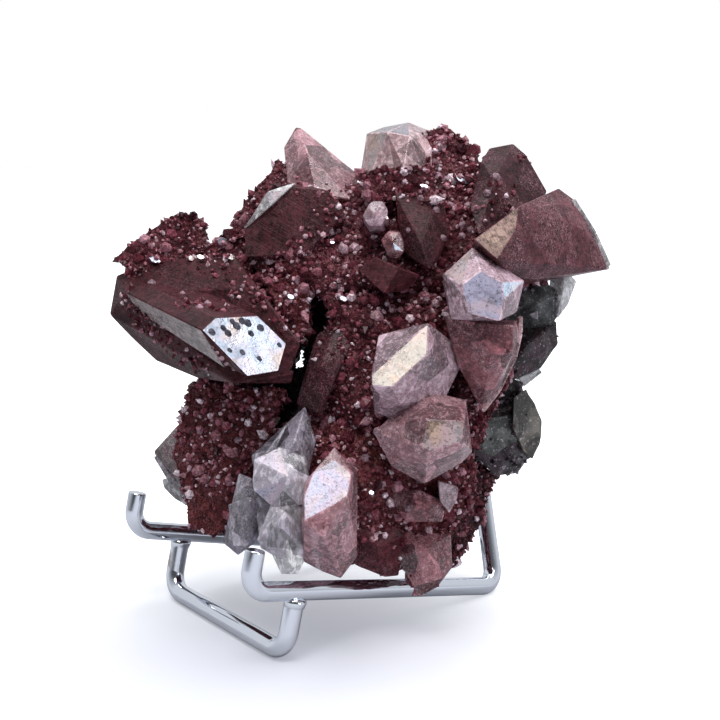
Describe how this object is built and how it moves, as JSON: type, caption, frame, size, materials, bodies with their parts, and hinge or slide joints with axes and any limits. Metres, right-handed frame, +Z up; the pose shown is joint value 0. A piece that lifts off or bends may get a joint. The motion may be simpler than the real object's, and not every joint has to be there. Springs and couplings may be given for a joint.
{
  "type": "quartz crystal cluster on a wire display stand",
  "caption": "Dark red quartz crystal cluster with druse and clear broken quartz, resting on a chromed bent-wire display stand.",
  "frame": {"origin": "under the middle of the stand's foot bar, on the surface the stand stands on", "axes": "+Z up; the stand's hooks are at its front, towards -Y, and its back loop is towards +Y"},
  "size_m": [0.0832, 0.0863, 0.1062],
  "materials": {
    "dark_quartz": "glassy, dark red with druse",
    "clear_quartz": "clear to milky, broken",
    "chrome_wire": "polished"
  },
  "bodies": {
    "root": {"crystal_cluster": "dark_quartz", "stand_frame": "chrome_wire", "stand_foot": "chrome_wire"}
  },
  "joints": []
}
